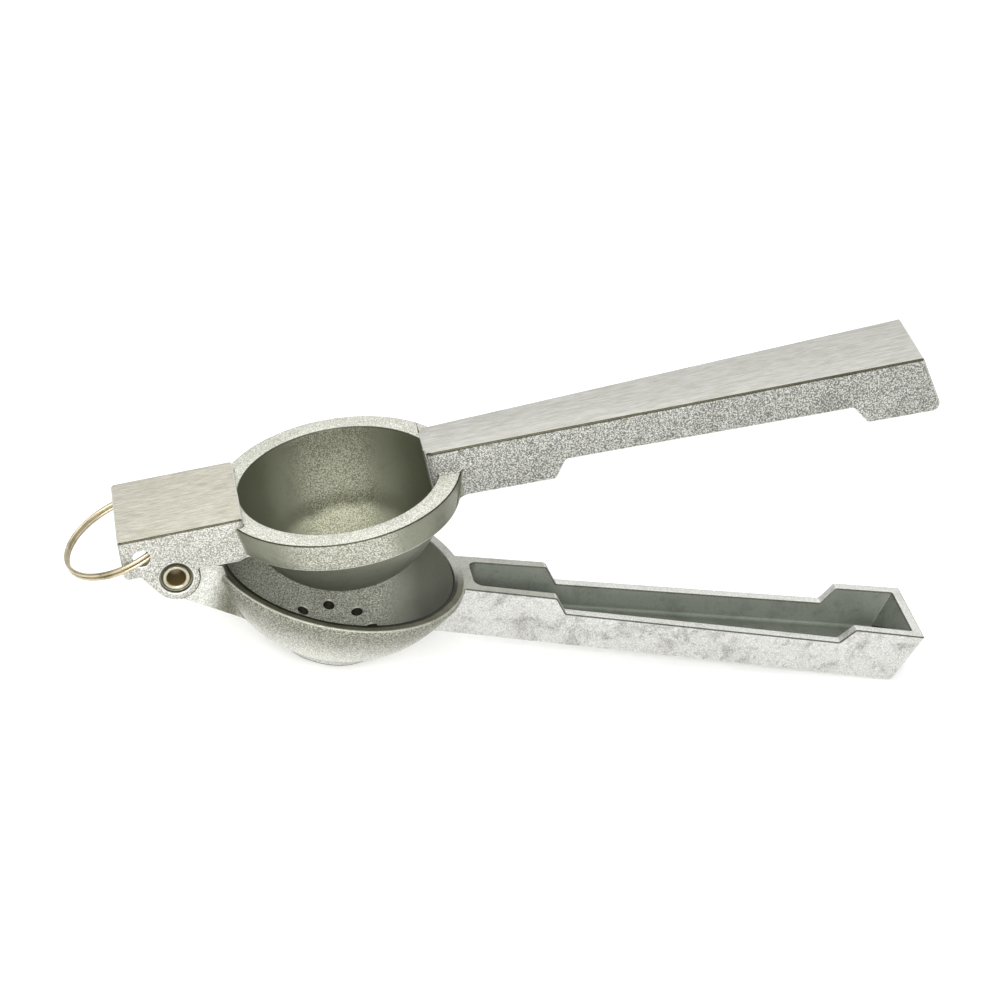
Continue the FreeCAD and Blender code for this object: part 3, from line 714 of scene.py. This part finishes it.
def bowlFlat(centre, normal):
    # The finish of a face, from where it lies and where it looks
    spec = bowlCasting
    slack = spec["slack"]
    radius = fromUpright(centre, spec["axisX"])
    fromBall = centre - Vector((spec["axisX"], 0, spec["ballZ"]))
    onBall = abs(fromBall.length - spec["ballRadius"]) < slack and fromBall.dot(normal) < 0
    if onBall and centre.z < slack:
        return "bowlInside"
    if normal.z > spec["flatShare"] and centre.z > spec["notchFloor"] - slack:
        return "bowlLip" if radius < spec["lipRadius"] + slack else "castRim"
    # The drain holes' walls get the painted shade
    inDrain = abs(fromUpright(centre, spec["drainX"]) - spec["drainCircle"]) < spec["drainRadius"]
    if inDrain and centre.z < spec["pocketFloor"] and abs(normal.z) < spec["drainWallShare"]:
        return "drainWall"
    along = (centre.x - spec["pocketStart"]) / (spec["pocketEnd"] - spec["pocketStart"])
    half = spec["pocketHalfStart"] + along * (spec["pocketHalfEnd"] - spec["pocketHalfStart"])
    inPocket = -spec["endShare"] < along < 1 + spec["endShare"] and abs(centre.y) < half + slack
    if inPocket and centre.z > spec["pocketFloor"] - slack:
        return "channelInside"
    outwards = fromBall.normalized().dot(normal)
    onShell = fromBall.length < spec["shellRadius"] and outwards > spec["domeShare"]
    onLipWall = abs(radius - spec["lipRadius"]) < spec["edgeSlack"] and centre.z > spec["lipWallFoot"]
    isUpright = abs(normal.z) < spec["lipWallShare"]
    onFoot = radius < spec["footRadius"] + spec["footMargin"] and normal.z < -spec["flatShare"]
    if onShell or onFoot or (onLipWall and isUpright):
        return "bowlShell"
    if centre.x < spec["tongueEnd"]:
        return "tongueSide"
    if centre.x < spec["rootEnd"]:
        return "handleRoot"
    return "bowlSide"


def bowlEdge(centre, normal):
    # The finish of a rounded edge
    spec = bowlCasting
    radius = fromUpright(centre, spec["axisX"])
    nearMouth = centre.z > spec["mouthDepth"]
    # The bowl mouth's rounded edge gets the painted shade line
    if abs(radius - spec["mouthRadius"]) < spec["edgeSlack"] and nearMouth:
        return "lipLine"
    if abs(radius - spec["lipRadius"]) < spec["lipEdgeSlack"] and centre.z > spec["lipWallFoot"]:
        return "lipOuter" if nearMouth else "bowlShell"
    # The rim round the foot gets the dark channelEdge tone: painted shade under the foot
    onFootRim = abs(fromUpright(centre, spec["footX"]) - spec["footRadius"]) < spec["edgeSlack"]
    if onFootRim and centre.z < spec["footZ"] + spec["footEdge"]:
        return "channelEdge"
    if centre.x > spec["rootStart"] and centre.z > spec["topEdgeFrom"]:
        return "channelEdge"
    if onCorner(spec, centre, normal, spec["pocketEnd"]):
        return "channelEdge"
    return "castEdge"


bowl = castCopy("bowl_arm", "bowlCasting", arms["bowlPitch"], bowlFlat, bowlEdge)
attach(bowl, "bowl")
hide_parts("bowl_arm")

# The press arm in its own millimetres, with shares as on the bowl arm
pressCasting = {
    "cupX": 49.7,
    "ballRadius": 28.81,
    "ballZ": 12.61,
    "mouthRadius": 28.8,
    "rimZ": 11.8,
    "rimRadius": 35.0,
    "bandFootZ": 2.8,
    "bandRadius": 34.3,
    "domeRadius": 30.41,
    "domeZ": 10.21,
    "noseTip": -14.2,
    "noseEnd": 21.0,
    "noseTop": 14.1,
    "noseRise": 0.014,
    "noseInnerHalf": 14.45,
    "knuckle": 6.8,
    "seatRadius": 4.7,
    "seatHalf": 16.45,
    "handleStart": 74.3,
    "handleEnd": 217.6,
    "handleTop": 18.9,
    "handleRise": 0.02791,
    "handlePlate": 3.0,
    "channelStart": 89.0,
    "channelHalfStart": 5.0,
    "channelHalfEnd": 10.8,
    "channelShares": (-0.01, 0.98),
    "endReach": 8.0,
    "flatShare": 0.9,
    "groundShare": 0.97,
    "bandWallShare": 0.4,
    "seatWallShare": 0.3,
    "cornerShare": 0.3,
    "knuckleSlack": 1.5,
    "knuckleTop": 3.0,
    "margin": 1.0,
    "slack": 0.35,
    "edgeSlack": 0.7,
}


def inNose(x):
    return x < pressCasting["noseEnd"] + pressCasting["margin"]


def underGround(x):
    # Nose and handle have the ground plates; the cup between them has none
    return inNose(x) or x > pressCasting["handleStart"] - pressCasting["margin"]


def topPlane(x):
    spec = pressCasting
    if inNose(x):
        return spec["noseTop"] + x * spec["noseRise"]
    return spec["handleTop"] + (x - spec["handleStart"]) * spec["handleRise"]


def pressFlat(centre, normal):
    # The finish of a face, from where it lies and where it looks
    spec = pressCasting
    slack = spec["slack"]
    margin = spec["margin"]
    fromBall = centre - Vector((spec["cupX"], 0, spec["ballZ"]))
    onBall = abs(fromBall.length - spec["ballRadius"]) < slack and fromBall.dot(normal) < 0
    if onBall and centre.z < spec["rimZ"] + slack:
        return "cupInside"
    fromDome = centre - Vector((spec["cupX"], 0, spec["domeZ"]))
    onDome = abs(fromDome.length - spec["domeRadius"]) < slack and fromDome.dot(normal) > 0
    underCup = normal.z < -spec["flatShare"] and centre.x < spec["handleStart"]
    if centre.z < spec["bandFootZ"] + slack and (onDome or underCup):
        return "dome"
    onBand = abs(fromUpright(centre, spec["cupX"]) - spec["bandRadius"]) < margin
    inBand = onBand and spec["bandFootZ"] - slack < centre.z < spec["rimZ"] + slack
    if inBand and abs(normal.z) < spec["bandWallShare"]:
        return "band"
    if normal.z > spec["flatShare"] and abs(centre.z - spec["rimZ"]) < slack:
        return "rimLand"
    onTop = underGround(centre.x) and abs(centre.z - topPlane(centre.x)) < slack
    if onTop and normal.z > spec["groundShare"]:
        return "noseTop" if inNose(centre.x) else "handleTop"
    # The counterbore floor gets the painted shadow
    inSeat = abs(centre.y) < spec["seatHalf"] or abs(normal.y) < spec["seatWallShare"]
    nearPin = math.hypot(centre.x, centre.z) < spec["seatRadius"] + slack
    if inSeat and nearPin and abs(centre.y) > spec["noseInnerHalf"]:
        return "seatFloor"
    # Faces inside the nose's hollow get the painted shade
    inLength = spec["noseTip"] + margin < centre.x < spec["noseEnd"]
    inWidth = abs(centre.y) < spec["noseInnerHalf"] + margin
    if inLength and inWidth and centre.z < spec["noseTop"] - margin:
        return "hollowInside"
    along = (centre.x - spec["channelStart"]) / (spec["handleEnd"] - spec["channelStart"])
    half = spec["channelHalfStart"] + along * (spec["channelHalfEnd"] - spec["channelHalfStart"])
    first, last = spec["channelShares"]
    underPlate = centre.z < topPlane(centre.x) - spec["handlePlate"] + slack
    if first < along < last and abs(centre.y) < half and underPlate:
        return "channelInside"
    return "noseSide" if inNose(centre.x) else "pressSide"


def pressEdge(centre, normal):
    # The finish of a rounded edge
    spec = pressCasting
    slack = spec["edgeSlack"]
    radius = fromUpright(centre, spec["cupX"])
    # The cup mouth's rounded edge, painted dark on its far side as shade
    if abs(radius - spec["mouthRadius"]) < slack and abs(centre.z - spec["rimZ"]) < spec["margin"]:
        return "mouthEdge"
    if abs(radius - spec["rimRadius"]) < slack and centre.z > spec["rimZ"] - slack:
        return "groundEdge"
    onTop = abs(centre.z - topPlane(centre.x)) < slack and abs(normal.y) > abs(normal.x)
    if onTop and underGround(centre.x):
        return "groundEdge"
    if onCorner(spec, centre, normal, spec["handleEnd"]):
        return "groundEdge"
    fromKnuckle = abs(math.hypot(centre.x, centre.z) - spec["knuckle"])
    onKnuckle = fromKnuckle < spec["knuckleSlack"] and 0 < centre.x and centre.z < spec["knuckleTop"]
    if onKnuckle and abs(centre.y) > spec["noseInnerHalf"]:
        return "groundEdge"
    return "castEdge"


press = castCopy("press_arm", "pressCasting", arms["pressPitch"], pressFlat, pressEdge)
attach(press, "press")
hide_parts("press_arm")

# The tube rivet: a thin tube whose ends are rolled outwards, in millimetres and degrees
rivetWork = {
    "tubeRadius": 2.9,
    "wall": 0.6,
    "curlStart": 16.50,
    "curlRadius": 0.42,
    "curlTurn": 120.0,
    "curlSteps": 7,
    "segments": 96,
    "boreRadius": 2.75,
    "smoothBelow": 40.0,
    "reachSlack": 0.001,
    "radiusSlack": 0.01,
    "flange": {"light": (196, 190, 168), "dark": (138, 130, 104), "roughness": 0.42, "metallic": 0.9,
               "grain": 0.5, "pits": 0.35, "stain": 0.6, "relief": 0.008},
    # The bore is painted light deep inside and dark towards its mouths: a painted highlight inside the tube
    # and painted shade at its ends
    "bore": {"light": (240, 232, 206), "dark": (206, 194, 156), "roughness": 0.40, "metallic": 0.2,
             "grain": 0.5, "pits": 0.3, "stain": 0.3, "relief": 0.004,
             "fades": [{"along": (0, 1, 0), "middle": 0.0, "start": 8.0, "end": 11.5, "wobble": 1.0,
                        "light": (112, 96, 62), "dark": (66, 54, 32)}]},
}


def makeRivet():
    spec = rivetWork
    pin = Vector(arms["pin"]) * mm
    deselectAll()
    bpy.ops.mesh.primitive_cylinder_add(vertices=spec["segments"], radius=spec["tubeRadius"] * mm,
                                        depth=2 * spec["curlStart"] * mm, end_fill_type="NOTHING",
                                        location=pin, rotation=(math.radians(90), 0, 0))
    rivet = bpy.context.object
    rivet.name = "tubeRivet"
    bpy.ops.object.transform_apply(location=True, rotation=True, scale=True)
    turnStep = math.radians(spec["curlTurn"]) / spec["curlSteps"]
    # Each end's ring of vertices is extruded step by step round the curl
    for side in (-1, 1):
        radius = spec["tubeRadius"]
        reach = spec["curlStart"]
        for step in range(spec["curlSteps"]):
            turn = (step + 1) * turnStep
            nextRadius = spec["tubeRadius"] + spec["curlRadius"] * (1 - math.cos(turn))
            nextReach = spec["curlStart"] + spec["curlRadius"] * math.sin(turn)
            bpy.ops.object.mode_set(mode="EDIT")
            bpy.ops.mesh.select_all(action="DESELECT")
            bpy.ops.object.mode_set(mode="OBJECT")
            for vertex in rivet.data.vertices:
                fromPin = vertex.co - pin
                atEnd = abs(fromPin.y * side - reach * mm) < spec["reachSlack"] * mm
                offRadius = abs(math.hypot(fromPin.x, fromPin.z) - radius * mm)
                vertex.select = atEnd and offRadius < spec["radiusSlack"] * mm
            bpy.ops.object.mode_set(mode="EDIT")
            bpy.ops.mesh.select_mode(type="VERT")
            bpy.ops.mesh.extrude_region_move()
            bpy.ops.transform.translate(value=(0, side * (nextReach - reach) * mm, 0))
            grow = nextRadius / radius
            bpy.ops.transform.resize(value=(grow, 1, grow), center_override=tuple(pin))
            bpy.ops.object.mode_set(mode="OBJECT")
            radius = nextRadius
            reach = nextReach
    wall = rivet.modifiers.new("tubeWall", "SOLIDIFY")
    wall.thickness = spec["wall"] * mm
    wall.offset = 0
    bpy.ops.object.modifier_apply(modifier="tubeWall")
    bpy.ops.object.mode_set(mode="EDIT")
    bpy.ops.mesh.select_all(action="SELECT")
    bpy.ops.mesh.normals_make_consistent(inside=False)
    bpy.ops.object.mode_set(mode="OBJECT")
    bpy.ops.object.shade_smooth_by_angle(angle=math.radians(spec["smoothBelow"]))
    rivet.data.materials.append(metal("palePlatedBrass", spec["flange"]))
    rivet.data.materials.append(metal("rivetBorePaintedShading", spec["bore"]))
    for face in rivet.data.polygons:
        fromPin = face.center - pin
        inBore = math.hypot(fromPin.x, fromPin.z) < spec["boreRadius"] * mm
        face.material_index = 1 if inBore else 0
    return rivet


rivet = makeRivet()
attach(rivet, "press")
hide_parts("hinge_rivet")
print("stage: rivet rolled")

# The split ring: a flat double winding of round wire through both cheeks, in millimetres and degrees.
# The wire is fuller than the solid's, on a coil that is smaller by as much and a margin, so that it
# stays inside the solid's box
ringWork = {
    "meanRadius": 17.603,
    "wire": 0.9,
    "fuller": 0.12,
    "margin": 0.02,
    "turnGap": 0.42,
    "crossing": 36.0,
    "offset": 4.603,
    "droop": 16.2,
    "twist": 1.2,
    "holeX": -8.5,
    "holeZ": 7.9,
    "stations": 260,
    "roundness": 4,
    "smoothBelow": 40.0,
    "finish": {"light": (206, 196, 168), "dark": (124, 108, 78), "roughness": 0.38, "metallic": 0.85,
               "grain": 0.5, "pits": 0.3, "stain": 0.6, "relief": 0.006},
}


def makeRing():
    spec = ringWork
    # The wire's ends stop short of the crossing, where it passes from one turn to the other
    bend = math.radians(spec["crossing"])
    lead = bend / 2 + 2 * spec["wire"] / spec["meanRadius"]
    pitch = spec["wire"] + spec["turnGap"]
    coil = spec["meanRadius"] - spec["fuller"] - spec["margin"]
    line = bpy.data.curves.new("splitRing", "CURVE")
    line.dimensions = "3D"
    line.bevel_depth = spec["wire"] / 2 + spec["fuller"]
    line.bevel_resolution = spec["roundness"]
    line.use_fill_caps = True
    spline = line.splines.new("POLY")
    spline.points.add(spec["stations"] - 1)
    start = lead - 2 * math.pi
    sweep = 4 * math.pi - 2 * lead
    for index, point in enumerate(spline.points):
        angle = start + sweep * index / (spec["stations"] - 1)
        share = min(1.0, max(0.0, angle / bend + 0.5))
        rise = share * share * (3 - 2 * share)
        point.co = (coil * math.cos(angle), coil * math.sin(angle), pitch * (0.5 - rise), 1)
    ring = bpy.data.objects.new("splitRing", line)
    bpy.context.scene.collection.objects.link(ring)
    pick(ring)
    bpy.ops.object.convert(target="MESH")
    place = Matrix.Translation((spec["holeX"], 0, spec["holeZ"]))
    place = place @ Matrix.Rotation(-math.radians(spec["droop"]), 4, "Y")
    place = place @ Matrix.Rotation(math.radians(spec["twist"]), 4, "X")
    place = place @ Matrix.Translation((-spec["offset"], 0, 0))
    ring.data.transform(armMatrix(arms["pressPitch"]) @ place)
    bpy.ops.object.shade_smooth_by_angle(angle=math.radians(spec["smoothBelow"]))
    ring.data.materials.append(metal("paleGiltWire", spec["finish"]))
    return ring


ring = makeRing()
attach(ring, "ring")
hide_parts("split_ring")
print("stage: split ring wound")

bpy.context.scene.view_settings.view_transform = "Standard"
